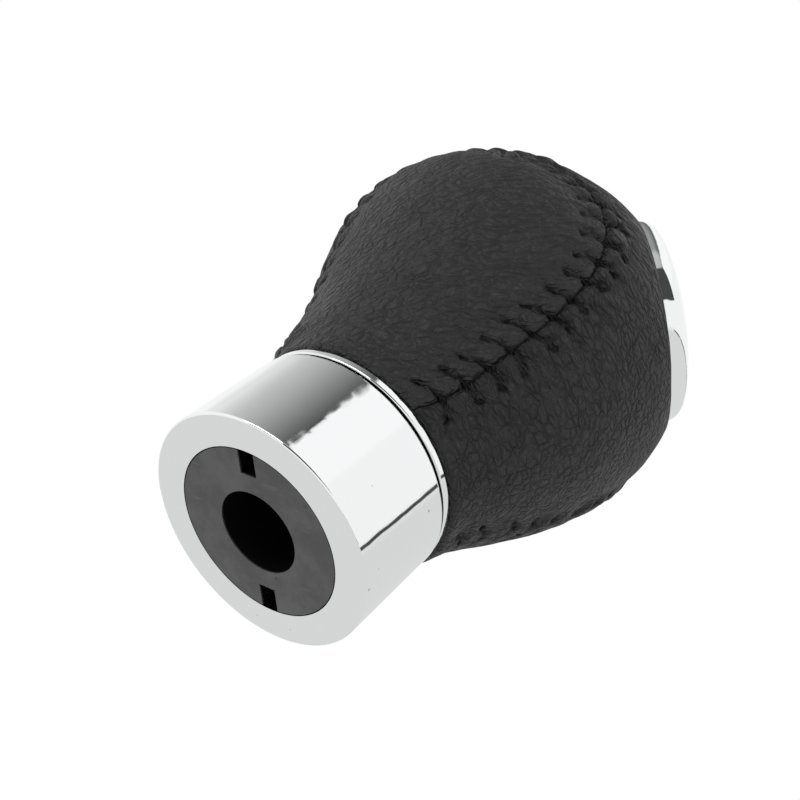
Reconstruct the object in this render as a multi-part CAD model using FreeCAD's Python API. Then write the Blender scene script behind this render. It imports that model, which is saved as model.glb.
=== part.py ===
import FreeCAD, Part
import math
import os

from FreeCAD import Vector

os.makedirs("parts", exist_ok=True)

# Gear shift knob, millimetres. It stands on the collar's flat end with the lever axis along +Z.
# The end cap faces the driver, towards -Y, and the knob is the same on both sides of X = 0.

# Collar and trim ring
collar_base_r = 16.0
collar_top_r = 15.4
collar_height = 15.7
collar_wall = 1.8
collar_floor = 2.4
collar_edge_round = 0.35
groove_width = 0.45
groove_depth = 1.0
ring_r = 15.2
ring_band = 2.6
ring_height = 1.2
ring_edge_round = 0.3

# Hub with the lever bore
hub_disc_r = 11.5
hub_neck_r = 9.2
hub_stem_r = 8.6
hub_length = 46.0
hub_rib_count = 8
hub_rib_width = 1.6
anchor_r = 11.0
anchor_height = 2.2
anchor_spacing = 9.0
anchor_count = 2
lever_bore_r = 5.63
lever_bore_depth = 38.0
slot_width = 2.4
slot_length = 3.3
slot_depth = 9.0

# Leather covered body
neck_r = 15.8
neck_flare = 0.13
neck_length = 31.5
ball_r = 25.9
crown_height = 22.8
throat_height = 12.6
throat_bow = 1.2
ball_setback = 0.55
leather = 1.3

# Side panels, seams and stitches
panel_neck_half = 11.2
panel_waist_half = 16.5
panel_waist_height = 14.1
panel_belly_half = 18.5
panel_belly_drop = 5.4
panel_shoulder_half = 15.9
panel_shoulder_rise = 3.3
panel_top_rise = 8.9
seam_gap = 0.4
stitch_pitch = 3.45
stitch_reach = 3.0
stitch_slant = 1.1
first_stitch = 3.3
thread_r = 0.3
thread_sink = 0.3
thread_room = 0.2

# End cap
cap_r = 13.5
cap_dome = 4.5
cap_crown_r = 40.0
cap_edge_round = 2.2
cap_wall = 1.5
cap_tilt = 45.0
cap_drop = 1.3
cap_lift = 0.5
cap_base_r = 13.2
cap_base_depth = 3.2
cap_spigot_r = 5.0
cap_spigot_length = 7.0
cap_leg_count = 4
cap_leg_width = 3.0
cap_leg_wall = 1.2
cap_leg_length = 2.4

# Clearances
fit_gap = 0.15
cap_gap = 0.35

# Heights worked out from the sizes above
ring_z = collar_height + groove_width
neck_z = ring_z + ring_height
ball_z = neck_z + neck_length
throat_z = neck_z + throat_height
ring_hole_r = ring_r - ring_band
collar_hole_r = hub_disc_r + fit_gap

axis_z = Vector(0, 0, 1)


def ease(share):
    """Smooth step from 0 to 1."""
    share = min(max(share, 0.0), 1.0)
    return (1 - math.cos(math.pi * share)) / 2


def bow(z):
    """How far the body's section at height z is set back along +Y."""
    forward = throat_bow * ease((z - neck_z) / (throat_z - neck_z))
    back = (throat_bow + ball_setback) * ease((z - throat_z) / (ball_z - throat_z))
    return back - forward


def section(z, skin=0.0):
    """Radius of the body's round section at height z, less a skin measured square to the surface."""
    if z >= ball_z:
        rise = (z - ball_z) / (crown_height - skin)
        return (ball_r - skin) * math.sqrt(max(0.0, 1 - rise ** 2))
    t = (z - neck_z) / neck_length
    widen = ball_r - neck_r
    flare = neck_flare * neck_length
    radius = neck_r + widen * t ** 2 * (3 - 2 * t) + flare * t * (1 - t) ** 2
    slope = (widen * 6 * t * (1 - t) + flare * (1 - t) * (1 - 3 * t)) / neck_length
    return radius - skin * math.hypot(1, slope)


def pear(skin):
    """Body as a loft through round sections that follow the bow, from the neck to the crown."""
    neck_steps = 7
    heights = [neck_z + neck_length * step / neck_steps for step in range(neck_steps)]
    crown_angles = (0, 14, 28, 42, 55, 67, 77, 84, 88)
    quarters = (0, 90, 180, 270)
    heights += [ball_z + (crown_height - skin) * math.sin(math.radians(a)) for a in crown_angles]
    rings = []
    for z in heights:
        centre = Vector(0, bow(z), z)
        radius = section(z, skin)
        rings.append(Part.Wire([Part.makeCircle(radius, centre, axis_z, a, a + 90) for a in quarters]))
    return Part.makeLoft(rings, True, False)


def revolve(points):
    """Solid of revolution about Z from (radius, height) corners."""
    corners = [Vector(r, 0, z) for r, z in points]
    return Part.Face(Part.makePolygon(corners + corners[:1])).revolve(Vector(), axis_z, 360)


def ring_edges(shape, radius, z):
    """Circular edges of the given radius at height z."""
    tolerance = 1e-4
    found = []
    for edge in shape.Edges:
        if edge.Degenerated:
            continue
        curve = edge.Curve
        if isinstance(curve, Part.Circle) and abs(curve.Radius - radius) < tolerance:
            if abs(curve.Center.z - z) < tolerance:
                found.append(edge)
    return found


def collar_inner_r(z):
    """Inside radius of the collar's tapered wall at height z."""
    taper = (collar_base_r - collar_top_r) / collar_height
    return collar_base_r - taper * z - collar_wall


def chrome_collar():
    """Tapered sleeve with an inward floor and a low spigot that carries the trim ring."""
    spigot_r = collar_top_r - groove_depth
    inner_top_r = collar_inner_r(collar_height)
    sleeve = revolve([
        (collar_hole_r, 0), (collar_base_r, 0), (collar_top_r, collar_height),
        (spigot_r, collar_height), (spigot_r, ring_z), (inner_top_r, ring_z),
        (inner_top_r, collar_height), (collar_inner_r(collar_floor), collar_floor),
        (collar_hole_r, collar_floor),
    ])
    rims = ring_edges(sleeve, collar_base_r, 0) + ring_edges(sleeve, collar_top_r, collar_height)
    return sleeve.makeFillet(collar_edge_round, rims)


def trim_ring():
    ring = revolve([
        (ring_hole_r, ring_z), (ring_r, ring_z), (ring_r, neck_z), (ring_hole_r, neck_z),
    ])
    rims = ring_edges(ring, ring_r, ring_z) + ring_edges(ring, ring_r, neck_z)
    return ring.makeFillet(ring_edge_round, rims)


def hub_outside():
    """Hub without its bore and slots: end disc, ribbed neck, shoulder and anchored stem."""
    shoulder_r = ring_hole_r - fit_gap
    hub = revolve([
        (0, 0), (hub_disc_r, 0), (hub_disc_r, collar_floor), (hub_neck_r, collar_floor),
        (hub_neck_r, collar_height), (shoulder_r, collar_height), (shoulder_r, neck_z),
        (hub_stem_r, neck_z), (hub_stem_r, hub_length), (0, hub_length),
    ])
    ribs = []
    for index in range(hub_rib_count):
        reach = collar_inner_r(collar_height) - fit_gap
        rib = Part.makeBox(reach, hub_rib_width, collar_height - collar_floor)
        rib.translate(Vector(0, -hub_rib_width / 2, collar_floor))
        rib.rotate(Vector(), axis_z, 360 * (index + 0.5) / hub_rib_count)
        ribs.append(rib)
    for index in range(anchor_count):
        foot = Vector(0, 0, neck_z + anchor_spacing * (index + 1))
        ribs.append(Part.makeCylinder(anchor_r, anchor_height, foot))
    return hub.fuse(ribs).removeSplitter()


def hub_insert(outside):
    cuts = [Part.makeCylinder(lever_bore_r, lever_bore_depth)]
    for side in (-1, 1):
        slot = Part.makeBox(slot_length, slot_width, slot_depth)
        slot.translate(Vector(hub_disc_r - slot_length, -slot_width / 2, 0))
        if side < 0:
            slot.rotate(Vector(), axis_z, 180)
        cuts.append(slot)
    return outside.cut(cuts)


def cap_place():
    """Frame of the cap: its origin is the centre of the rim plane and +Z points out of the knob."""
    tilt = math.radians(cap_tilt)
    out = Vector(0, -math.sin(tilt), math.cos(tilt))
    down = Vector(0, -math.cos(tilt), -math.sin(tilt))
    reach = 1 / math.hypot(math.sin(tilt) / ball_r, math.cos(tilt) / crown_height)
    rim = math.sqrt(reach ** 2 - (cap_r + cap_gap) ** 2) + cap_lift
    centre = Vector(0, ball_setback, ball_z) + down * cap_drop + out * rim
    return FreeCAD.Placement(centre, FreeCAD.Rotation(Vector(1, 0, 0), cap_tilt))


def placed(shape):
    """Shape moved from the cap's frame to the knob's."""
    return shape.transformGeometry(cap_place().toMatrix())


def pillow(radius, dome, crown_r, edge_round):
    """Low dome on a round rim, with a rounded shoulder."""
    rim = Part.makeCylinder(radius, dome)
    dome_ball = Part.makeSphere(crown_r, Vector(0, 0, dome - crown_r))
    form = rim.common(dome_ball)
    shoulder_z = dome - crown_r + math.sqrt(crown_r ** 2 - radius ** 2)
    return form.makeFillet(edge_round, ring_edges(form, radius, shoulder_z))


def cap_legs(grow):
    """Snap legs under the cap, grown by a clearance for the windows that take them."""
    outer = cap_r - cap_wall + grow
    legs = []
    for index in range(cap_leg_count):
        leg = Part.makeBox(cap_leg_wall + 2 * grow, cap_leg_width + 2 * grow, 2 * cap_leg_length)
        leg.translate(Vector(outer - cap_leg_wall - 2 * grow, -cap_leg_width / 2 - grow, -cap_leg_length))
        leg.rotate(Vector(), axis_z, 360 * (index + 0.5) / cap_leg_count)
        legs.append(leg)
    return legs


def chrome_cap():
    shell = pillow(cap_r, cap_dome, cap_crown_r, cap_edge_round)
    hollow = pillow(cap_r - cap_wall, cap_dome - cap_wall, cap_crown_r - cap_wall, cap_edge_round - cap_wall)
    below = Part.makeCylinder(cap_r, cap_leg_length, -axis_z * cap_leg_length)
    legs = Part.makeCompound(cap_legs(0)).common(shell.fuse(below))
    return placed(shell.cut(hollow).fuse(legs.Solids).removeSplitter())


def cap_base():
    dish = Part.makeCylinder(cap_base_r, cap_base_depth, -axis_z * cap_base_depth)
    spigot_foot = -axis_z * (cap_base_depth + cap_spigot_length)
    spigot = Part.makeCylinder(cap_spigot_r, cap_spigot_length, spigot_foot)
    return placed(dish.fuse(spigot).cut(cap_legs(fit_gap)).removeSplitter())


def cap_pocket():
    """Round seat sunk into the body for the cap, with the hole for its spigot."""
    height = cap_base_depth + cap_lift + cap_dome
    mouth = Part.makeCylinder(cap_r + cap_gap, height, -axis_z * cap_base_depth)
    hole_length = cap_spigot_length + fit_gap
    hole = Part.makeCylinder(cap_spigot_r + fit_gap, hole_length, -axis_z * (cap_base_depth + hole_length))
    return placed(mouth.fuse(hole))


def panel_outline(grow):
    """Half outline of a side panel seen along X, as one smooth curve from neck to neck."""
    half = [
        (panel_neck_half, neck_z),
        (panel_waist_half, neck_z + panel_waist_height),
        (panel_belly_half, ball_z - panel_belly_drop),
        (panel_shoulder_half, ball_z + panel_shoulder_rise),
    ]
    rising = [Vector(0, -(y + grow), z) for y, z in half]
    top = Vector(0, 0, ball_z + panel_top_rise + grow)
    falling = [Vector(0, -point.y, point.z) for point in reversed(rising)]
    curve = Part.BSplineCurve()
    curve.interpolate(rising + [top] + falling)
    return curve


def panel_prism(grow):
    """Block that takes the right side panel out of the leather."""
    arch = panel_outline(grow).toShape()
    first, last = arch.valueAt(arch.FirstParameter), arch.valueAt(arch.LastParameter)
    drop = Vector(0, 0, -2 * leather)
    sill = Part.makePolygon([last, last + drop, first + drop, first])
    face = Part.Face(Part.Wire([arch] + sill.Edges))
    return face.extrude(Vector(2 * ball_r, 0, 0))


def on_surface(y, z):
    """Point of the leather's surface on the right side at a given y and z."""
    return Vector(math.sqrt(max(0.0, section(z) ** 2 - (y - bow(z)) ** 2)), y, z)


def normal_at(point):
    """Outward normal of the leather's surface."""
    step = 0.01
    slope = (section(point.z + step) - section(point.z - step)) / (2 * step)
    flat = Vector(point.x, point.y - bow(point.z), 0).normalize()
    return (flat - axis_z * slope).normalize()


def snapped(point):
    """Point moved level with the leather's surface."""
    flat = Vector(point.x, point.y - bow(point.z), 0).normalize() * section(point.z)
    return Vector(flat.x, flat.y + bow(point.z), point.z)


def stitches():
    """Each stitch of the right seam as its middle on the seam and its needle points, one on each panel."""
    curve = panel_outline(0)
    samples = 400
    first, last = curve.FirstParameter, curve.LastParameter
    flat = [curve.value(first + (last - first) * k / samples) for k in range(samples + 1)]
    seam = [on_surface(p.y, p.z) for p in flat]
    run = [0.0]
    for a, b in zip(seam, seam[1:]):
        run.append(run[-1] + a.distanceToPoint(b))
    count = int((run[-1] - 2 * first_stitch) / stitch_pitch) + 1
    found = []
    for index in range(count):
        wanted = first_stitch + index * stitch_pitch
        k = max(1, min(samples - 1, next(i for i, length in enumerate(run) if length >= wanted)))
        along = (seam[k + 1] - seam[k - 1]).normalize()
        out = normal_at(seam[k])
        across = out.cross(along)
        ends = []
        for reach in (-stitch_reach, stitch_reach):
            end = snapped(seam[k] + across * reach - along * stitch_slant)
            ends.append(end - normal_at(end) * thread_sink)
        found.append((seam[k] - out * thread_sink, ends))
    return found


def stitch_legs(radius, lead):
    """Both legs of every stitch of the right seam, as round rods begun a short lead across the seam."""
    pairs = []
    for middle, ends in stitches():
        pair = []
        for end in ends:
            along = (end - middle).normalize()
            start = middle - along * lead
            pair.append(Part.makeCylinder(radius, start.distanceToPoint(end), start, along))
        pairs.append(pair)
    return pairs


def seam_thread():
    """Stitches of the right seam, each a bent length of thread."""
    knees = [Part.makeSphere(thread_r, middle) for middle, ends in stitches()]
    lengths = [knee.fuse(pair).removeSplitter() for knee, pair in zip(knees, stitch_legs(thread_r, 0))]
    return Part.makeCompound(lengths)


def mirrored(shape):
    """The same piece on the other side of the knob."""
    return shape.mirror(Vector(), Vector(1, 0, 0))


def leather_pieces():
    """Hide cut into two side panels and the band between them, puckered where each stitch pulls it in."""
    hide = pear(0).cut(pear(leather)).cut(cap_pocket())
    pucker_r = thread_r + thread_room
    puckers = [leg for pair in stitch_legs(pucker_r, pucker_r) for leg in pair]
    right_panel = hide.common(panel_prism(-seam_gap / 2)).cut(puckers)
    block = panel_prism(seam_gap / 2)
    band = hide.cut([block, mirrored(block)])
    band = band.cut(puckers + [mirrored(pucker) for pucker in puckers])
    return mirrored(right_panel), right_panel, band


def build():
    hub_form = hub_outside()
    left_panel, right_panel, band = leather_pieces()
    right_thread = seam_thread()
    return {
        "hub_insert": hub_insert(hub_form),
        "foam_body": pear(leather).cut([hub_form, cap_pocket()]),
        "left_leather_panel": left_panel,
        "right_leather_panel": right_panel,
        "centre_leather_band": band,
        "left_seam_thread": mirrored(right_thread),
        "right_seam_thread": right_thread,
        "chrome_collar": chrome_collar(),
        "trim_ring": trim_ring(),
        "cap_base": cap_base(),
        "chrome_cap": chrome_cap(),
    }


for node, shape in build().items():
    shape.exportStep(f"parts/{node}.step")
    print(node, len(shape.Solids), "valid" if shape.isValid() else "NOT VALID", round(shape.Volume, 1))
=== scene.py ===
import math

import bmesh
import bpy
import numpy as np
from mathutils import Matrix, Vector, noise


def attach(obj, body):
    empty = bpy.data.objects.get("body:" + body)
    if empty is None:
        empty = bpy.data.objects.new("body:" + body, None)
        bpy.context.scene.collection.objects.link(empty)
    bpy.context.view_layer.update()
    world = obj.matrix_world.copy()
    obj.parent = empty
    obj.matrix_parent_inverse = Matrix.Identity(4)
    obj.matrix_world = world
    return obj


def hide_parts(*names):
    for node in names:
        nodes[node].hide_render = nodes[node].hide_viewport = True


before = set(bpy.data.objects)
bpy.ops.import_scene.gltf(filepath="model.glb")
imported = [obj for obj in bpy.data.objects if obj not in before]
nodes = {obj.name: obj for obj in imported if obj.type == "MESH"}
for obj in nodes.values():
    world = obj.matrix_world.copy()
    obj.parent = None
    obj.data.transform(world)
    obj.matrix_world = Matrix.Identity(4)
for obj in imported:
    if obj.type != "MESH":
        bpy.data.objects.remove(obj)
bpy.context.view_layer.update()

MM = 0.001

# Sizes of the knob, in millimetres in its own frame
NECK_Z = 17.35
NECK_R = 15.8
NECK_FLARE = 0.13
NECK_LENGTH = 31.5
BALL_R = 25.9
BALL_Z = NECK_Z + NECK_LENGTH
CROWN_HEIGHT = 22.8
THROAT_HEIGHT = 12.6
THROAT_BOW = 1.2
BALL_SETBACK = 0.55

# Outline of a side panel seen along X: half width and height
PANEL_OUTLINE = (
    (11.2, NECK_Z),
    (16.5, NECK_Z + 14.1),
    (18.5, BALL_Z - 5.4),
    (15.9, BALL_Z + 3.3),
    (0.0, BALL_Z + 8.9),
)
STITCH_PITCH = 3.45
FIRST_STITCH = 3.9
STITCH_REACH = 3.2
STITCH_SLANT = 1.15

# End cap: centre of its rim plane, its tilt and its radius
CAP_TILT = math.radians(45)
CAP_R = 13.5
CAP_DROP = 1.3
CAP_LIFT = 0.5
CAP_GAP = 0.35
CAP_OUT = Vector((0, -math.sin(CAP_TILT), math.cos(CAP_TILT)))
CAP_DOWN = Vector((0, -math.cos(CAP_TILT), -math.sin(CAP_TILT)))


def cap_centre():
    reach = 1 / math.hypot(math.sin(CAP_TILT) / BALL_R, math.cos(CAP_TILT) / CROWN_HEIGHT)
    rim = math.sqrt(reach ** 2 - (CAP_R + CAP_GAP) ** 2) + CAP_LIFT
    return Vector((0, BALL_SETBACK, BALL_Z)) + CAP_DOWN * CAP_DROP + CAP_OUT * rim


# Body surface

def ease(share):
    share = np.clip(share, 0.0, 1.0)
    return (1 - np.cos(np.pi * share)) / 2


def smooth(value, low, high):
    share = np.clip((value - low) / (high - low), 0.0, 1.0)
    return share * share * (3 - 2 * share)


def bow(z):
    """How far the section at height z is set back along +Y."""
    throat = NECK_Z + THROAT_HEIGHT
    forward = THROAT_BOW * ease((z - NECK_Z) / THROAT_HEIGHT)
    back = (THROAT_BOW + BALL_SETBACK) * ease((z - throat) / (BALL_Z - throat))
    return back - forward


def section(z):
    """Radius of the round section at height z."""
    t = np.clip((z - NECK_Z) / NECK_LENGTH, 0.0, 1.0)
    low = NECK_R + (BALL_R - NECK_R) * t ** 2 * (3 - 2 * t) + NECK_FLARE * NECK_LENGTH * t * (1 - t) ** 2
    rise = np.clip((z - BALL_Z) / CROWN_HEIGHT, 0.0, 1.0)
    return np.where(z < BALL_Z, low, BALL_R * np.sqrt(1 - rise ** 2))


# Arc length down the meridian from the crown, used to lay the panels out flat
CROWN_STEPS = BALL_Z + CROWN_HEIGHT * np.sin(np.linspace(np.pi / 2, 0, 200))
MERIDIAN_Z = np.concatenate([CROWN_STEPS, np.linspace(BALL_Z, NECK_Z, 200)[1:]])
MERIDIAN_R = section(MERIDIAN_Z)
MERIDIAN_RUN = np.concatenate([[0], np.cumsum(np.hypot(np.diff(MERIDIAN_Z), np.diff(MERIDIAN_R)))])


def surface(run, azimuth):
    """Points of the leather's surface at a run down from the crown and an azimuth from the front."""
    z = np.interp(run, MERIDIAN_RUN, MERIDIAN_Z)
    r = np.interp(run, MERIDIAN_RUN, MERIDIAN_R)
    return np.stack([r * np.sin(azimuth), bow(z) - r * np.cos(azimuth), z], -1)


def surface_normal(points):
    z = points[..., 2]
    step = 0.02
    low = np.minimum(z, BALL_Z + CROWN_HEIGHT * 0.999)
    slope = (section(low + step) - section(low - step)) / (2 * step)
    flat = np.stack([points[..., 0], points[..., 1] - bow(z), 0 * z], -1)
    flat /= np.maximum(np.linalg.norm(flat, axis=-1, keepdims=True), 1e-6)
    out = flat - np.stack([0 * z, 0 * z, slope], -1)
    return out / np.linalg.norm(out, axis=-1, keepdims=True)


# Seam curve

def spline(values, knots, wanted):
    """Natural cubic spline through values at knots."""
    h = np.diff(knots)
    n = len(knots)
    matrix = np.eye(n)
    right = np.zeros(n)
    for i in range(1, n - 1):
        matrix[i, i - 1:i + 2] = h[i - 1], 2 * (h[i - 1] + h[i]), h[i]
        right[i] = 3 * ((values[i + 1] - values[i]) / h[i] - (values[i] - values[i - 1]) / h[i - 1])
    c = np.linalg.solve(matrix, right)
    k = np.clip(np.searchsorted(knots, wanted) - 1, 0, n - 2)
    t = wanted - knots[k]
    b = (values[k + 1] - values[k]) / h[k] - h[k] * (2 * c[k] + c[k + 1]) / 3
    d = (c[k + 1] - c[k]) / (3 * h[k])
    return values[k] + b * t + c[k] * t ** 2 + d * t ** 3


def seam_points(count):
    """Points of the left seam, evenly spaced from the front of the neck over the arch to its back."""
    half = np.array(PANEL_OUTLINE)
    y = np.concatenate([-half[:, 0], half[-2::-1, 0]])
    z = np.concatenate([half[:, 1], half[-2::-1, 1]])
    knots = np.concatenate([[0], np.cumsum(np.hypot(np.diff(y), np.diff(z)))])
    fine = np.linspace(0, knots[-1], 2000)
    fy, fz = spline(y, knots, fine), spline(z, knots, fine)
    fx = -np.sqrt(np.maximum(section(fz) ** 2 - (fy - bow(fz)) ** 2, 0))
    points = np.stack([fx, fy, fz], -1)
    run = np.concatenate([[0], np.cumsum(np.linalg.norm(np.diff(points, axis=0), axis=1))])
    even = np.linspace(0, run[-1], count)
    return np.stack([np.interp(even, run, points[:, i]) for i in range(3)], -1), even


def chart(points):
    """Run and azimuth of points on the surface."""
    run = np.interp(-points[..., 2], -MERIDIAN_Z, MERIDIAN_RUN)
    azimuth = np.arctan2(points[..., 0], bow(points[..., 2]) - points[..., 1])
    return run, azimuth


SEAM_STEPS = 621
SEAM, SEAM_RUN = seam_points(SEAM_STEPS)
SEAM_LENGTH = SEAM_RUN[-1]
STITCH_COUNT = int((SEAM_LENGTH - 2 * FIRST_STITCH) / STITCH_PITCH) + 1


# Relief of the sewn leather, in millimetres; its deepest point stays above the foam

DEEPEST = 1.22
SEAM_ROLL = 0.5

# Draw-in beside the seam: depth, width, and the shares of the seam's run where it begins and ends
DRAW_DEPTH = 0.8
DRAW_WIDTH = 5.5
DRAW_BEGINS = (0.3, 0.45)
DRAW_ENDS = (0.95, 0.8)

# Each side's depth of a stitch's crease and of its fork, rise of the tabs, depth of the needle slits
PANEL_SEWN = (0.55, 0.48, 0.18, 0.75)
BAND_SEWN = (0.95, 0.72, 0.34, 0.3)

# Knot, crease, fork, vein and slit of a stitch
KNOT_DEPTH = 0.85
KNOT_WIDTH = 0.5
KNOT_REACH = 0.55
CREASE_WIDTH = 0.3
CREASE_OVERRUN = 0.5
FORK_WIDTH = 0.22
FORK_SPREAD = 0.27
VEIN_DEPTH = 0.18
VEIN_WIDTH = 0.16
VEIN_SPREAD = 0.2
VEIN_OFFSET = 0.35
SLIT_WIDTH = 0.16
SLIT_LENGTH = 0.55

# Tabs between stitches, dents at the needle points, and wrinkles and waves of the hide
TAB_END = 4.6
TAB_FADE = 3.2
TAB_PULL = 0.45
DENT_DEPTH = 0.16
DENT_WIDTH = 1.2
DENT_REACH = 1.6
WRINKLE_HEIGHT = 0.3
WRINKLE_PITCH = 1.25
WRINKLE_LENGTH = 6
WRINKLE_END = 9.5
HIDE_WAVES = ((0.16, 8.0), (0.05, 2.6))


def sway(index, pace, seed):
    """Steady irregularity between -1 and 1 from one stitch to the next."""
    return np.sin(index * pace + seed) * np.cos(index * 1.7 * pace - 2 * seed)


def crease(off, width):
    """Sharp valley across its line, 1 at the bottom."""
    return np.exp(-(np.abs(off) / width) ** 1.3)


def field(points, size):
    """Smooth noise at points, with features of about the given size."""
    flat = points.reshape(-1, 3) / size
    return np.array([noise.noise(Vector(place)) for place in flat]).reshape(points.shape[:-1])


def seam_pull(run, reach):
    """How far the leather is drawn in beside the seam, over the arch and down its back."""
    along = smooth(run / SEAM_LENGTH, *DRAW_BEGINS) * smooth(run / SEAM_LENGTH, *DRAW_ENDS)
    return DRAW_DEPTH * along * np.exp(-(reach / DRAW_WIDTH) ** 2)


def stitch_cuts(off, reach, index, length, seed, sewn):
    """Depth that the nearest stitch cuts into the leather, by the distance off its line."""
    crease_depth, fork_depth, _, slit_depth = sewn
    depth = KNOT_DEPTH * np.exp(-(off / KNOT_WIDTH) ** 2 - (reach / KNOT_REACH) ** 2)
    strength = 1 + 0.4 * sway(index, 5.3, seed) + 0.5 * np.exp(-index)
    ends = smooth(length + CREASE_OVERRUN - reach, 0, 0.7)
    uneven = 0.65 + 0.35 * np.cos(2 * np.pi * reach / length)
    depth += crease_depth * strength * crease(off, CREASE_WIDTH) * ends * uneven
    fork = crease(off - FORK_SPREAD * reach, FORK_WIDTH) * (1 + 0.5 * sway(index, 2.2, seed))
    depth += fork_depth * fork * smooth(length * 0.85 - reach, 0, 0.8)
    vein = crease(off + VEIN_SPREAD * reach - VEIN_OFFSET, VEIN_WIDTH) * (1 + sway(index, 9.4, seed))
    depth += VEIN_DEPTH * vein * smooth(length * 1.25 - reach, 0, 0.9)
    depth += slit_depth * np.exp(-(off / SLIT_WIDTH) ** 2 - ((reach - length) / SLIT_LENGTH) ** 4)
    dent = np.exp(-(off / DENT_WIDTH) ** 2) * np.exp(-((reach - length) / DENT_REACH) ** 2)
    return depth + DENT_DEPTH * dent


def tab_rise(phase, reach):
    """Shape of the plump tab between two stitches, about 1 at its top."""
    across = np.mod(phase, 1.0)
    plump = (4 * across * (1 - across)) ** 0.7 * (0.7 + 0.6 * across)
    return plump * smooth(reach, 0, 0.9) * smooth(TAB_END - reach, 0, TAB_FADE)


def relief(run, reach, share, seed, sewn, points):
    """Height of the leather over the smooth body, by run along the seam and distance from it."""
    lean = run + STITCH_SLANT * reach / STITCH_REACH
    phase = (lean - FIRST_STITCH) / STITCH_PITCH
    index = np.clip(np.round(phase), 0, STITCH_COUNT - 1)
    length = STITCH_REACH * (1 + 0.16 * sway(index, 7.31, seed))
    bend = 0.2 * sway(index, 3.1, seed) * reach + 0.14 * np.sin(2.6 * reach + 5 * index + seed)
    bend += 0.09 * np.sin(6.3 * reach + 3 * index - seed)
    off = (phase - index) * STITCH_PITCH - bend * smooth(reach, 0.2, 1.5)
    pull = seam_pull(run, reach)

    edge = np.clip(1 - reach / SEAM_ROLL, 0, 1)
    height = -SEAM_ROLL * (1 - np.sqrt(np.maximum(1 - edge ** 2, 0)))
    height -= stitch_cuts(off, reach, index, length, seed, sewn) + pull
    height += (sewn[2] + TAB_PULL * pull) * tab_rise(phase, reach)
    folds = np.stack([lean / WRINKLE_PITCH, reach / WRINKLE_LENGTH + seed, 0 * reach], -1)
    fade = smooth(reach, 0.8, 2.6) * smooth(WRINKLE_END - reach, 0, 6) * smooth(1 - share, 0, 0.3)
    height += WRINKLE_HEIGHT * field(folds, 1.0) * fade
    for rise, size in HIDE_WAVES:
        height += rise * field(points, size)
    return np.where(height < 0, -DEEPEST * np.tanh(-height / DEEPEST), height)


# Leather pieces

PANEL_ROWS = 62
PANEL_MIDDLE = 0.86
BAND_ROWS = 60
NECK_ROLL = 0.8
NECK_ROLL_DEPTH = 0.55
NECK_TUCK = 0.75
NECK_TUCK_HEIGHT = 6.0
CAP_ROLL = 1.5
HEM = 0.9


def laid_grid(rows, columns, places):
    """Grid of quads laid row by row on the given places."""
    bm = bmesh.new()
    bmesh.ops.create_grid(bm, x_segments=columns - 1, y_segments=rows - 1, size=1)
    bm.verts.ensure_lookup_table()
    flat = places.reshape(-1, 3)
    order = sorted(bm.verts, key=lambda vert: (round(vert.co.y, 6), round(vert.co.x, 6)))
    for place, vert in zip(flat, order):
        vert.co = Vector(place) * MM
    return bm


def spread(rows, power):
    """Shares across a panel, closer together beside the seam."""
    return np.linspace(0, 1, rows)[:, None] ** power


def row_lengths(points):
    """Distance of each point from the seam along its column."""
    steps = np.linalg.norm(np.diff(points, axis=0), axis=2)
    return np.concatenate([np.zeros((1, points.shape[1])), np.cumsum(steps, axis=0)])


def turn_in_edges(bm):
    """Turns every open edge of the leather inwards by its own thickness."""
    rim = [edge for edge in bm.edges if edge.is_boundary]
    grown = bmesh.ops.extrude_edge_only(bm, edges=rim)["geom"]
    turned = [item for item in grown if isinstance(item, bmesh.types.BMVert)]
    inward = -surface_normal(np.array([vert.co / MM for vert in turned]))
    for vert, step in zip(turned, inward):
        vert.co += Vector(step) * HEM * MM


def smooth_piece(name, bm):
    """Object with smooth faces made of a finished bmesh."""
    mesh = bpy.data.meshes.new(name)
    bm.to_mesh(mesh)
    bm.free()
    mesh.polygons.foreach_set("use_smooth", [True] * len(mesh.polygons))
    piece = bpy.data.objects.new(name, mesh)
    bpy.context.scene.collection.objects.link(piece)
    return piece


def finish_leather(name, bm):
    """Closes the leather's doubles, turns its edges in and points its faces outwards."""
    bmesh.ops.remove_doubles(bm, verts=bm.verts, dist=0.01 * MM)
    turn_in_edges(bm)
    bmesh.ops.recalc_face_normals(bm, faces=bm.faces)
    middle = Vector((0, 0, BALL_Z)) * MM
    if sum(face.normal.dot(face.calc_center_median() - middle) for face in bm.faces) < 0:
        bmesh.ops.reverse_faces(bm, faces=bm.faces)
    return smooth_piece(name, bm)


def neck_turn(points):
    """Leather's lower edge, rounded in above the trim ring and drawn tighter behind."""
    rise = points[..., 2] - NECK_Z
    share = np.clip(1 - rise / NECK_ROLL, 0, 1)
    behind = smooth(points[..., 1] / NECK_R, 0.1, 0.65)
    behind = behind * smooth(NECK_TUCK_HEIGHT - rise, 0, NECK_TUCK_HEIGHT)
    return -NECK_ROLL_DEPTH * (1 - np.sqrt(np.maximum(1 - share ** 2, 0))) - NECK_TUCK * behind


def raised(points, share, side, seed, sewn):
    """Points of the left half, mirrored to their side and lifted by the relief."""
    reach = row_lengths(points)
    out = surface_normal(points)
    mirror = np.array([-side, 1, 1])
    run = SEAM_RUN[None, :] + 0 * reach
    height = relief(run, reach, share, seed, sewn, points * mirror) + neck_turn(points)
    height = np.maximum(height, -DEEPEST)
    return (points + out * height[..., None]) * mirror


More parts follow.
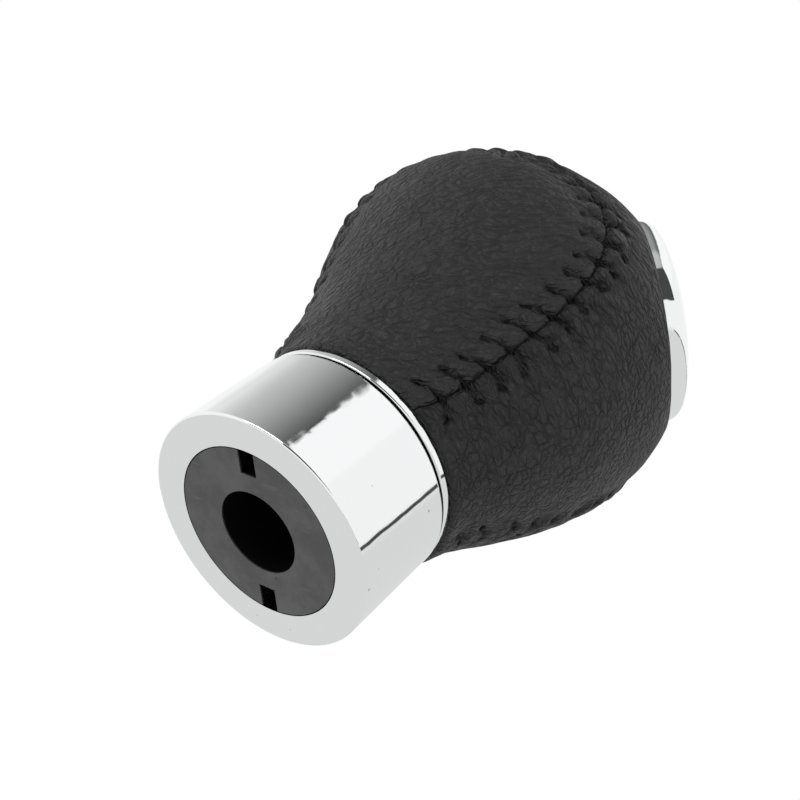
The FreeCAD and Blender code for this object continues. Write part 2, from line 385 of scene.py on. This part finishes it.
def side_panel(name, side, seed):
    """Tongue between the seam and the line that it closes on in the panel's middle."""
    run, azimuth = chart(SEAM)
    middle_z = NECK_Z + (SEAM[:, 2] - NECK_Z) * PANEL_MIDDLE
    middle_run = np.interp(-middle_z, -MERIDIAN_Z, MERIDIAN_RUN)
    share = spread(PANEL_ROWS, 1.6)
    points = surface(run + (middle_run - run) * share, azimuth + (-np.pi / 2 - azimuth) * share)
    points = raised(points, share, side, seed, PANEL_SEWN)
    points[-1] = (points[-1] + points[-1, ::-1]) / 2
    return finish_leather(name, laid_grid(PANEL_ROWS, SEAM_STEPS, points))


def band_half(side, seed):
    """Half of the band from the seam to the knob's middle plane."""
    run, azimuth = chart(SEAM)
    signed = MERIDIAN_RUN[-1] * np.linspace(1, -1, SEAM_STEPS)
    share = spread(BAND_ROWS, 1.7)
    around_run = run + (np.abs(signed) - run) * share
    around_azimuth = azimuth + (np.where(signed > 0, 0.0, -np.pi) - azimuth) * share
    seam_flat = np.stack([run * np.sin(azimuth), -run * np.cos(azimuth)], -1)
    middle_flat = np.stack([0 * signed, -signed], -1)
    flat = seam_flat + (middle_flat - seam_flat) * share[..., None]
    over_run = np.linalg.norm(flat, axis=-1)
    over_azimuth = np.arctan2(flat[..., 0], -flat[..., 1])
    over_azimuth = np.where(over_azimuth > 1e-9, over_azimuth - 2 * np.pi, over_azimuth)
    blend = smooth(SEAM[:, 2], NECK_Z + 2, BALL_Z - 2)[None, :]
    points = surface(around_run + (over_run - around_run) * blend,
                     around_azimuth + (over_azimuth - around_azimuth) * blend)
    points[-1, :, 0] = 0
    return raised(points, share, side, seed, BAND_SEWN)


def open_for_cap(bm):
    """Opens the band for the cap and turns its edge down into the seat."""
    centre = cap_centre()
    edge = CAP_R + CAP_GAP
    inside = []
    for vert in bm.verts:
        place = vert.co / MM - centre
        up = place.dot(CAP_OUT)
        if up < -6:
            continue
        flat = place - CAP_OUT * up
        radius = flat.length
        if radius < edge - 0.9:
            inside.append(vert)
            continue
        share = min(max((edge + CAP_ROLL - radius) / CAP_ROLL, 0), 1)
        if share > 0:
            sink = CAP_ROLL * (1 - math.sqrt(max(1 - share ** 2, 0))) * 1.2
            pull = max(edge + 0.05 - radius, 0)
            vert.co = (centre + flat * ((radius + pull) / radius) + CAP_OUT * (up - sink - 2.2 * pull)) * MM
    bmesh.ops.delete(bm, geom=inside, context="VERTS")


def centre_band(name):
    """Band of both halves, opened for the cap."""
    whole = bmesh.new()
    for side, seed in ((-1, 1.3), (1, 4.1)):
        half = laid_grid(BAND_ROWS, SEAM_STEPS, band_half(side, seed))
        half_mesh = bpy.data.meshes.new("band_half")
        half.to_mesh(half_mesh)
        half.free()
        whole.from_mesh(half_mesh)
        bpy.data.meshes.remove(half_mesh)
    open_for_cap(whole)
    return finish_leather(name, whole)


# Sewing thread, two plies twisted together

PLY_R = 0.12
PLY_SIDES = 6
PLY_STEPS = 30
TWISTS = 3.5
THREAD_SINK = 0.34
KNOT_SINK = 0.5
NEEDLE_SINK = 0.75


def stitch_path(index):
    """Line of one stitch of the left seam, from the panel's slit through the knot to the band's."""
    at = FIRST_STITCH + index * STITCH_PITCH
    middle = np.array([np.interp(at, SEAM_RUN, SEAM[:, i]) for i in range(3)])
    ahead = np.array([np.interp(at + 0.2, SEAM_RUN, SEAM[:, i]) for i in range(3)])
    along = (ahead - middle) / np.linalg.norm(ahead - middle)
    out = surface_normal(middle)
    across = np.cross(out, along)
    t = np.linspace(-1, 1, PLY_STEPS)[:, None]
    place = middle + across * STITCH_REACH * t - along * STITCH_SLANT * np.abs(t)
    run, azimuth = chart(place)
    place = surface(run, azimuth)
    knot, needle = np.exp(-(t / 0.16) ** 2), smooth(np.abs(t), 0.8, 1)
    pull = seam_pull(at, STITCH_REACH * np.abs(t))
    sink = THREAD_SINK + KNOT_SINK * knot + NEEDLE_SINK * needle + pull
    return place - surface_normal(place) * sink


def ply(bm, path, turn):
    """Adds one ply as a closed tube that winds about the path."""
    forward = np.gradient(path, axis=0)
    forward /= np.linalg.norm(forward, axis=1, keepdims=True)
    out = surface_normal(path)
    side = np.cross(forward, out)
    out = np.cross(side, forward)
    angle = turn + TWISTS * 2 * np.pi * np.linspace(0, 1, PLY_STEPS)[:, None]
    core = path + PLY_R * (np.cos(angle) * out + np.sin(angle) * side)
    rings = []
    for place, up, right in zip(core, out, side):
        corners = [k * 2 * math.pi / PLY_SIDES for k in range(PLY_SIDES)]
        rings.append([bm.verts.new(Vector(place + PLY_R * (math.cos(c) * up + math.sin(c) * right)) * MM)
                      for c in corners])
    for low, high in zip(rings, rings[1:]):
        for k in range(PLY_SIDES):
            n = (k + 1) % PLY_SIDES
            bm.faces.new((low[k], low[n], high[n], high[k]))
    bm.faces.new(rings[0][::-1])
    bm.faces.new(rings[-1])


def seam_thread(name, side):
    """All stitches of one seam, each of two plies."""
    bm = bmesh.new()
    for index in range(STITCH_COUNT):
        path = stitch_path(index) * np.array([-side, 1, 1])
        ply(bm, path, 0)
        ply(bm, path, math.pi)
    bmesh.ops.recalc_face_normals(bm, faces=bm.faces)
    return smooth_piece(name, bm)


left_panel = side_panel("left_panel_leather", -1, 0.7)
right_panel = side_panel("right_panel_leather", 1, 2.9)
band = centre_band("centre_band_leather")
left_thread = seam_thread("left_stitches", -1)
right_thread = seam_thread("right_stitches", 1)

for piece, cad_node, finish in (
    (left_panel, "left_leather_panel", "leather"),
    (right_panel, "right_leather_panel", "leather"),
    (band, "centre_leather_band", "leather"),
    (left_thread, "left_seam_thread", "thread"),
    (right_thread, "right_seam_thread", "thread"),
):
    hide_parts(cad_node)
    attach(piece, "root")


# Shared shader effects

def effect(name, inputs, outputs):
    """New shader group with its sockets, and the nodes that stand for its inside ends."""
    group = bpy.data.node_groups.new(name, "ShaderNodeTree")
    for label, kind in inputs:
        group.interface.new_socket(label, in_out="INPUT", socket_type=kind)
    for label, kind in outputs:
        group.interface.new_socket(label, in_out="OUTPUT", socket_type=kind)
    return group, group.nodes.new("NodeGroupInput"), group.nodes.new("NodeGroupOutput")


def node(tree, kind, settings=None, values=None):
    """New node with its settings, and its sockets set to values or linked to other sockets."""
    made = tree.nodes.new(kind)
    for key, value in (settings or {}).items():
        setattr(made, key, value)
    for key, value in (values or {}).items():
        if isinstance(value, bpy.types.NodeSocket):
            tree.links.new(value, made.inputs[key])
        else:
            made.inputs[key].default_value = value
    return made


def maths(tree, operation, *values):
    """Result of a maths node."""
    return node(tree, "ShaderNodeMath", {"operation": operation}, dict(enumerate(values))).outputs[0]


def span(tree, value, low, high, to_low=0.0, to_high=1.0, shape="SMOOTHSTEP"):
    """Value brought from one range into another."""
    made = node(tree, "ShaderNodeMapRange", {"interpolation_type": shape}, {
        "Value": value, "From Min": low, "From Max": high, "To Min": to_low, "To Max": to_high})
    return made.outputs["Result"]


def inside(tree, value, low, high, soft):
    """Mask of a range with soft ends."""
    return maths(tree, "MULTIPLY", span(tree, value, low - soft, low + soft),
                 span(tree, value, high - soft, high + soft, 1.0, 0.0))


def vector(tree, operation, *values):
    """Result of a vector maths node."""
    made = node(tree, "ShaderNodeVectorMath", {"operation": operation}, dict(enumerate(values)))
    return made.outputs["Value" if operation == "DOT_PRODUCT" else "Vector"]


def swirls(tree, place, scale, detail):
    """Cloudy colour used to shift a place."""
    return node(tree, "ShaderNodeTexNoise", values={
        "Vector": place, "Scale": scale, "Detail": detail}).outputs["Color"]


def cell_edges(tree, place, scale):
    """Distance to the edges of a pattern of cells."""
    return node(tree, "ShaderNodeTexVoronoi", {"feature": "DISTANCE_TO_EDGE"}, {
        "Vector": place, "Scale": scale}).outputs["Distance"]


def cell_dots(tree, place, scale):
    """Distance to the middles of a pattern of cells."""
    return node(tree, "ShaderNodeTexVoronoi", values={"Vector": place, "Scale": scale}).outputs["Distance"]


def clouds(tree, place, scale, detail=2.0, rough=0.5):
    """Cloudy value around 0.5."""
    return node(tree, "ShaderNodeTexNoise", values={
        "Vector": place, "Scale": scale, "Detail": detail, "Roughness": rough}).outputs["Fac"]


GRAIN_SHIFT = 0.002
WISP_SHIFT = 0.006


def leather_grain():
    """Soft ripples and pebbles between fine broken crease lines, drawn out along one direction; the crease
    mask also goes out for painted shade in the crease lines.
    """
    group, inner, outer = effect(
        "leather_grain",
        (("Place", "NodeSocketVector"), ("Direction", "NodeSocketVector"), ("Stretch", "NodeSocketFloat"),
         ("Depth", "NodeSocketFloat")),
        (("Height", "NodeSocketFloat"), ("Crease shade", "NodeSocketFloat"), ("Tone", "NodeSocketFloat")))
    place, direction, stretch, depth = inner.outputs[:4]
    shorter = maths(group, "MULTIPLY", vector(group, "DOT_PRODUCT", place, direction), stretch)
    back = node(group, "ShaderNodeVectorMath", {"operation": "SCALE"},
                {0: direction, "Scale": shorter}).outputs[0]
    drawn = vector(group, "SUBTRACT", place, back)
    moved = vector(group, "MULTIPLY_ADD", swirls(group, drawn, 520.0, 3.0), (GRAIN_SHIFT,) * 3, drawn)
    cells = cell_edges(group, moved, 980.0)
    small = cell_edges(group, moved, 2100.0)
    broken = span(group, clouds(group, place, 420.0, 4.0, 0.6), 0.3, 0.7, 0.5, 1.0)
    lines = maths(group, "MULTIPLY", span(group, cells, 0.0, 0.24, 0.8, 0.0), broken)
    hairs = maths(group, "MULTIPLY", span(group, small, 0.0, 0.18, 1.0, 0.0), 0.35)
    waves = clouds(group, drawn, 700.0, 3.0, 0.55)
    valleys = span(group, waves, 0.3, 0.47, 0.4, 0.0)
    marks = maths(group, "MAXIMUM", maths(group, "MAXIMUM", lines, hairs), valleys)
    crease_depth_and_shade = maths(group, "MULTIPLY", marks, depth)
    ripple = maths(group, "MULTIPLY", waves, 2.6)
    pebble = span(group, cells, 0.0, 0.45, 0.0, 1.1)
    pores = maths(group, "MULTIPLY_ADD", clouds(group, place, 5200.0, 3.0), 0.14, ripple)
    lift = maths(group, "ADD", maths(group, "SUBTRACT", pebble, crease_depth_and_shade), pores)
    group.links.new(lift, outer.inputs["Height"])
    group.links.new(crease_depth_and_shade, outer.inputs["Crease shade"])
    group.links.new(clouds(group, place, 90.0, 4.0, 0.6), outer.inputs["Tone"])
    return group


def plating_wear():
    """Faint haze, hairline scratches and specks of bright plating."""
    group, inner, outer = effect(
        "plating_wear", (("Place", "NodeSocketVector"),),
        (("Haze", "NodeSocketFloat"), ("Specks", "NodeSocketFloat"), ("Ripple", "NodeSocketFloat")))
    place = inner.outputs["Place"]
    bent = vector(group, "MULTIPLY_ADD", swirls(group, place, 160.0, 2.0), (WISP_SHIFT,) * 3, place)
    strokes = cell_edges(group, bent, 110.0)
    scratch = maths(group, "MULTIPLY", span(group, strokes, 0.0, 0.006, 1.0, 0.0),
                    span(group, clouds(group, place, 240.0), 0.5, 0.62))
    dots = cell_dots(group, place, 420.0)
    specks = maths(group, "MULTIPLY", span(group, dots, 0.05, 0.1, 1.0, 0.0),
                   span(group, clouds(group, place, 120.0), 0.58, 0.66))
    breath = span(group, clouds(group, place, 60.0, 5.0), 0.3, 0.7, 0.03, 0.06)
    haze = maths(group, "MULTIPLY_ADD", scratch, 0.12, breath)
    group.links.new(haze, outer.inputs["Haze"])
    group.links.new(specks, outer.inputs["Specks"])
    group.links.new(clouds(group, place, 210.0, 1.0), outer.inputs["Ripple"])
    return group


def moulded_skin():
    """Fine satin texture and rubbed patches of a moulded surface."""
    group, inner, outer = effect(
        "moulded_skin", (("Place", "NodeSocketVector"),),
        (("Height", "NodeSocketFloat"), ("Rubbed", "NodeSocketFloat"), ("Marks", "NodeSocketFloat")))
    place = inner.outputs["Place"]
    fine = clouds(group, place, 2600.0, 3.0, 0.6)
    drawn = vector(group, "MULTIPLY", place, (1.0, 0.12, 1.0))
    scuffs = span(group, clouds(group, drawn, 1500.0, 2.0), 0.6, 0.72)
    patches = span(group, clouds(group, place, 130.0, 5.0, 0.65), 0.35, 0.7)
    rubbed = maths(group, "MAXIMUM", patches, maths(group, "MULTIPLY", scuffs, 0.9))
    specks = cell_dots(group, place, 520.0)
    marks = maths(group, "MULTIPLY", span(group, specks, 0.08, 0.2, 1.0, 0.0),
                  span(group, clouds(group, place, 190.0), 0.52, 0.6))
    group.links.new(fine, outer.inputs["Height"])
    group.links.new(rubbed, outer.inputs["Rubbed"])
    group.links.new(marks, outer.inputs["Marks"])
    return group


LEATHER_GRAIN = leather_grain()
PLATING_WEAR = plating_wear()
MOULDED_SKIN = moulded_skin()


# Materials

def new_material(name):
    """New material with its tree, its shader and its object coordinates."""
    material = bpy.data.materials.new(name)
    material.use_nodes = True
    tree = material.node_tree
    place = node(tree, "ShaderNodeTexCoord").outputs["Object"]
    return material, tree, tree.nodes["Principled BSDF"], place


def ramp(tree, value, low, high):
    """Colour between two ends by value."""
    return node(tree, "ShaderNodeMix", {"data_type": "RGBA"}, {0: value, 6: low, 7: high}).outputs[2]


GRAIN_BASE = 0.00016
GRAIN_RELIEF = 0.00022


def leather_material(name, direction, depth):
    """Black leather with its grain drawn out along a direction, pressed to a depth, with painted shade
    making its crease lines darker and less shiny.
    """
    material, tree, shader, place = new_material(name)
    grain = node(tree, "ShaderNodeGroup", {"node_tree": LEATHER_GRAIN}, {
        "Place": place, "Direction": direction, "Stretch": 0.55, "Depth": depth})
    crease_depth_and_shade, tone = grain.outputs["Crease shade"], grain.outputs["Tone"]
    hide = ramp(tree, tone, (0.012, 0.012, 0.0128, 1), (0.0166, 0.0167, 0.0179, 1))
    # Painted shade: the grain's crease lines get a darker colour and a weaker shine
    tree.links.new(ramp(tree, crease_depth_and_shade, hide, (0.004, 0.004, 0.004, 1)), shader.inputs["Base Color"])
    tree.links.new(span(tree, tone, 0.3, 0.7, 0.5, 0.6), shader.inputs["Roughness"])
    tree.links.new(span(tree, crease_depth_and_shade, 0.0, 1.0, 0.5, 0.25), shader.inputs["Specular IOR Level"])
    bump = node(tree, "ShaderNodeBump", values={
        "Height": grain.outputs["Height"], "Strength": 0.85, "Distance": GRAIN_BASE + GRAIN_RELIEF * depth})
    tree.links.new(bump.outputs["Normal"], shader.inputs["Normal"])
    return material


# Painted shade between collar and ring: the recess where the plating is made near black, in millimetres
GROOVE_R = 15.0
GROOVE_Z = 15.92
GROOVE_HALF = 0.3
GROOVE_SOFT = 0.02


def from_axis(tree, place):
    """Distance of a place from the lever axis, and its height."""
    spot = node(tree, "ShaderNodeSeparateXYZ", values={0: place}).outputs
    squares = maths(tree, "ADD", maths(tree, "POWER", spot[0], 2.0), maths(tree, "POWER", spot[1], 2.0))
    radius = maths(tree, "SQRT", squares)
    return radius, spot[2]


def chrome_material():
    """Bright plating, with painted shade making it near black in the recess above the collar."""
    material, tree, shader, place = new_material("bright_plating")
    wear = node(tree, "ShaderNodeGroup", {"node_tree": PLATING_WEAR}, {"Place": place})
    metal = ramp(tree, wear.outputs["Specks"], (0.918, 0.936, 0.938, 1), (0.35, 0.35, 0.35, 1))
    radius, height = from_axis(tree, place)
    # Painted shade: near-black plating inside the recess between collar and ring
    sunk = span(tree, radius, GROOVE_R * MM, (GROOVE_R + 0.15) * MM, 1.0, 0.0)
    low, high = (GROOVE_Z - GROOVE_HALF) * MM, (GROOVE_Z + GROOVE_HALF) * MM
    groove_painted_shade = maths(tree, "MULTIPLY", sunk, inside(tree, height, low, high, GROOVE_SOFT * MM))
    tree.links.new(ramp(tree, groove_painted_shade, metal, (0.01, 0.01, 0.01, 1)), shader.inputs["Base Color"])
    tree.links.new(wear.outputs["Haze"], shader.inputs["Roughness"])
    bump = node(tree, "ShaderNodeBump", values={
        "Height": wear.outputs["Ripple"], "Strength": 0.12, "Distance": 0.0002})
    tree.links.new(bump.outputs["Normal"], shader.inputs["Normal"])
    shader.inputs["Metallic"].default_value = 1
    return material


def plastic_material():
    """Black moulding with turned rings on its end. Painted shade makes it dead black and dull from 0.3 mm
    above the lever end's plane up, which takes in the inside of the bore and the whole cap base.
    """
    material, tree, shader, place = new_material("satin_black_moulding")
    skin = node(tree, "ShaderNodeGroup", {"node_tree": MOULDED_SKIN}, {"Place": place})
    radius, height = from_axis(tree, place)
    # Painted shade: dead black and dull above the lever end's plane
    painted_shade_above_face = span(tree, height, 0.02 * MM, 0.3 * MM)
    rings = maths(tree, "MULTIPLY", maths(tree, "SINE", maths(tree, "MULTIPLY", radius, 16000.0)), 0.12)
    black = ramp(tree, skin.outputs["Rubbed"], (0.04, 0.04, 0.041, 1), (0.062, 0.062, 0.063, 1))
    marked = ramp(tree, skin.outputs["Marks"], black, (0.015, 0.015, 0.015, 1))
    tree.links.new(ramp(tree, painted_shade_above_face, marked, (0.002, 0.002, 0.002, 1)), shader.inputs["Base Color"])
    satin = span(tree, skin.outputs["Rubbed"], 0.0, 1.0, 0.5, 0.34)
    dull = maths(tree, "MULTIPLY", painted_shade_above_face, 0.8)
    tree.links.new(maths(tree, "MAXIMUM", satin, dull), shader.inputs["Roughness"])
    tree.links.new(span(tree, painted_shade_above_face, 0.0, 1.0, 0.5, 0.05), shader.inputs["Specular IOR Level"])
    bump = node(tree, "ShaderNodeBump", values={
        "Height": maths(tree, "ADD", skin.outputs["Height"], rings), "Strength": 0.35, "Distance": 0.00006})
    tree.links.new(bump.outputs["Normal"], shader.inputs["Normal"])
    return material


def foam_material():
    """Dark moulded foam."""
    material, tree, shader, place = new_material("grey_moulded_foam")
    skin = node(tree, "ShaderNodeGroup", {"node_tree": MOULDED_SKIN}, {"Place": place})
    tree.links.new(ramp(tree, skin.outputs["Rubbed"], (0.01, 0.01, 0.01, 1), (0.02, 0.02, 0.02, 1)),
                   shader.inputs["Base Color"])
    bump = node(tree, "ShaderNodeBump", values={
        "Height": skin.outputs["Marks"], "Strength": 0.6, "Distance": 0.0003})
    tree.links.new(bump.outputs["Normal"], shader.inputs["Normal"])
    shader.inputs["Roughness"].default_value = 0.85
    return material


def thread_material():
    """Black thread with fine fibres."""
    material, tree, shader, place = new_material("black_sewing_thread")
    fibre = clouds(tree, place, 9000.0, 3.0, 0.7)
    tree.links.new(ramp(tree, fibre, (0.003, 0.003, 0.003, 1), (0.012, 0.012, 0.012, 1)),
                   shader.inputs["Base Color"])
    tree.links.new(span(tree, fibre, 0.3, 0.7, 0.6, 0.75), shader.inputs["Roughness"])
    bump = node(tree, "ShaderNodeBump", values={"Height": fibre, "Strength": 0.4, "Distance": 0.00005})
    tree.links.new(bump.outputs["Normal"], shader.inputs["Normal"])
    shader.inputs["Specular IOR Level"].default_value = 0.25
    return material


PANEL_GRAIN = (0.089, -0.79, 0.606)
BAND_GRAIN = (0.719, -0.694, -0.021)

panel_hide = leather_material("panel_leather", PANEL_GRAIN, 0.6)
band_hide = leather_material("band_leather", BAND_GRAIN, 1.0)
chrome = chrome_material()
plastic = plastic_material()
foam = foam_material()
thread = thread_material()
for piece, material in (
    (left_panel, panel_hide), (right_panel, panel_hide), (band, band_hide),
    (left_thread, thread), (right_thread, thread),
    (nodes["chrome_collar"], chrome), (nodes["trim_ring"], chrome), (nodes["chrome_cap"], chrome),
    (nodes["cap_base"], plastic), (nodes["hub_insert"], plastic), (nodes["foam_body"], foam),
):
    piece.data.materials.clear()
    piece.data.materials.append(material)


# Camera at the photograph's angle

CAMERA_PLACE = Vector((-133.13, -130.58, -123.25)) * MM
CAMERA_RIGHT = Vector((0.08904, -0.79034, 0.60617))
CAMERA_UP = Vector((-0.83219, 0.27538, 0.48128))
CAMERA_BACK = CAMERA_RIGHT.cross(CAMERA_UP)
FOCAL_PIXELS = 1900
FRAME_PIXELS = 800
SENSOR = 36.0

camera_data = bpy.data.cameras.new("camera")
camera_data.sensor_width = SENSOR
camera_data.lens = SENSOR * FOCAL_PIXELS / FRAME_PIXELS
camera_data.clip_start = 0.01
camera = bpy.data.objects.new("camera", camera_data)
camera.matrix_world = Matrix((
    (CAMERA_RIGHT.x, CAMERA_UP.x, CAMERA_BACK.x, CAMERA_PLACE.x),
    (CAMERA_RIGHT.y, CAMERA_UP.y, CAMERA_BACK.y, CAMERA_PLACE.y),
    (CAMERA_RIGHT.z, CAMERA_UP.z, CAMERA_BACK.z, CAMERA_PLACE.z),
    (0, 0, 0, 1),
))
bpy.context.scene.collection.objects.link(camera)
bpy.context.scene.camera = camera

# Studio: pale floor, white tent and one soft lamp

TARGET = Vector((0, -0.002, 0.036))
FLOOR_SIZE = 2.0
FLOOR_DROP = 0.0004
KEY_RIGHT = -0.5
KEY_UP = 0.9
KEY_BACK = 0.6
KEY_DISTANCE = 0.6
KEY_SIZE = (0.4, 0.14)
KEY_POWER = 0.8

# Tent as bright metal shows it, by the parts of a direction along the camera's axes
LEAN_START = -0.7
LEAN_SPAN = 1.2
OVERHEAD_EDGE = 0.374
OVERHEAD_TEETH = 0.3
OVERHEAD_GREYS = (
    (-0.45, 0.8),
    (-0.25, 0.56),
    (-0.06, 0.41),
    (0.1, 0.27),
    (0.25, 0.16),
    (0.34, 0.1),
    (0.37, 0.05),
)
SCREEN_UP = (0.37, 0.86)
STRIP_UP = (-0.181, -0.148)
STRIP_BEND = 0.02
DARK_LEVEL = 0.06


def studio_floor():
    """Pale floor under the knob, seen only from above so that it doesn't hide the view of the underside."""
    bm = bmesh.new()
    bmesh.ops.create_grid(bm, x_segments=1, y_segments=1, size=FLOOR_SIZE)
    for vert in bm.verts:
        vert.co.z = -FLOOR_DROP
    mesh = bpy.data.meshes.new("floor")
    bm.to_mesh(mesh)
    bm.free()
    floor = bpy.data.objects.new("floor", mesh)
    bpy.context.scene.collection.objects.link(floor)
    material, tree, shader, place = new_material("pale_floor")
    tone = clouds(tree, place, 3.0, 3.0)
    tree.links.new(ramp(tree, tone, (0.9, 0.9, 0.9, 1), (0.93, 0.93, 0.93, 1)), shader.inputs["Base Color"])
    shader.inputs["Roughness"].default_value = 0.9
    under = node(tree, "ShaderNodeNewGeometry").outputs["Backfacing"]
    unseen = maths(tree, "SUBTRACT", 1.0, node(tree, "ShaderNodeLightPath").outputs["Is Camera Ray"])
    clear = node(tree, "ShaderNodeBsdfTransparent").outputs[0]
    seen = node(tree, "ShaderNodeMixShader", values={
        0: maths(tree, "MAXIMUM", under, unseen), 1: shader.outputs[0], 2: clear})
    tree.links.new(seen.outputs[0], tree.nodes["Material Output"].inputs["Surface"])
    mesh.materials.append(material)


def key_softbox():
    """Soft lamp placed by the camera's directions, low enough not to light the floor."""
    direction = CAMERA_RIGHT * KEY_RIGHT + CAMERA_UP * KEY_UP + CAMERA_BACK * KEY_BACK
    direction.normalize()
    data = bpy.data.lights.new("key_softbox", "AREA")
    data.shape = "RECTANGLE"
    data.size, data.size_y = KEY_SIZE
    data.energy = KEY_POWER
    light = bpy.data.objects.new("key_softbox", data)
    turn = direction.to_track_quat("Z", "Y").to_matrix().to_4x4()
    light.matrix_world = Matrix.Translation(TARGET + direction * KEY_DISTANCE) @ turn
    light.visible_camera = False
    bpy.context.scene.collection.objects.link(light)


def overhead_shade(tree, lean):
    """Grey of the graded panel overhead, from white to near black along its lean."""
    shade = node(tree, "ShaderNodeValToRGB", values={
        "Fac": span(tree, lean, LEAN_START, LEAN_START + LEAN_SPAN, shape="LINEAR")})
    scale = shade.color_ramp.elements
    scale[0].position, scale[1].position = 0.0, 1.0
    darkest = OVERHEAD_GREYS[-1][1]
    scale[1].color = (darkest, darkest, darkest, 1)
    for lean_stop, grey in OVERHEAD_GREYS:
        scale.new((lean_stop - LEAN_START) / LEAN_SPAN).color = (grey, grey, grey, 1)
    scale[0].color = (1, 1, 1, 1)
    return shade.outputs["Color"]


def between(tree, share, first, second):
    """Value between two others by a share."""
    return node(tree, "ShaderNodeMix", values={0: share, 2: first, 3: second}).outputs[0]


def white_tent():
    """White light tent; bright metal sees it paler below, with a graded panel overhead and dark strips."""
    world = bpy.data.worlds.new("studio")
    bpy.context.scene.world = world
    world.use_nodes = True
    tree = world.node_tree
    direction = node(tree, "ShaderNodeTexCoord").outputs["Generated"]
    right, up, back = (vector(tree, "DOT_PRODUCT", direction, tuple(axis))
                       for axis in (CAMERA_RIGHT, CAMERA_UP, CAMERA_BACK))
    level = span(tree, up, -0.24, -0.1, 0.75, 1.0)
    level = maths(tree, "MULTIPLY", level, span(tree, up, 0.52, 0.6, 0.95, 1.0))
    along_lever = vector(tree, "DOT_PRODUCT", direction, (0, 0, 1))
    teeth = node(tree, "ShaderNodeTexNoise", {"noise_dimensions": "1D"}, {
        "W": along_lever, "Scale": 190.0, "Detail": 4.0, "Roughness": 0.6}).outputs["Fac"]
    ragged = maths(tree, "SUBTRACT", teeth, 0.5)
    lean = maths(tree, "DIVIDE", right, maths(tree, "MAXIMUM", up, 0.05))
    torn = maths(tree, "MULTIPLY_ADD", ragged, OVERHEAD_TEETH, lean)
    past = span(tree, torn, OVERHEAD_EDGE, OVERHEAD_EDGE + 0.01)
    overhead = maths(tree, "MULTIPLY", span(tree, up, 0.2, 0.5), span(tree, back, 0.03, 0.2, 1.0, 0.65))
    overhead = maths(tree, "MULTIPLY", overhead, maths(tree, "SUBTRACT", 1.0, past))
    level = maths(tree, "MULTIPLY", level, between(tree, overhead, 1.0, overhead_shade(tree, lean)))
    screen = maths(tree, "MULTIPLY", inside(tree, up, *SCREEN_UP, 0.015), span(tree, back, 0.38, 0.42))
    bent = maths(tree, "MULTIPLY_ADD", ragged, STRIP_BEND, up)
    strip = maths(tree, "MULTIPLY", inside(tree, bent, *STRIP_UP, 0.005), span(tree, right, 0.45, 0.6))
    level = between(tree, maths(tree, "MAXIMUM", screen, strip), level, DARK_LEVEL)
    glossy = node(tree, "ShaderNodeLightPath").outputs["Is Glossy Ray"]
    tree.links.new(between(tree, glossy, 1.0, level), tree.nodes["Background"].inputs["Color"])


studio_floor()
key_softbox()
white_tent()

bpy.context.scene.view_settings.view_transform = "Standard"
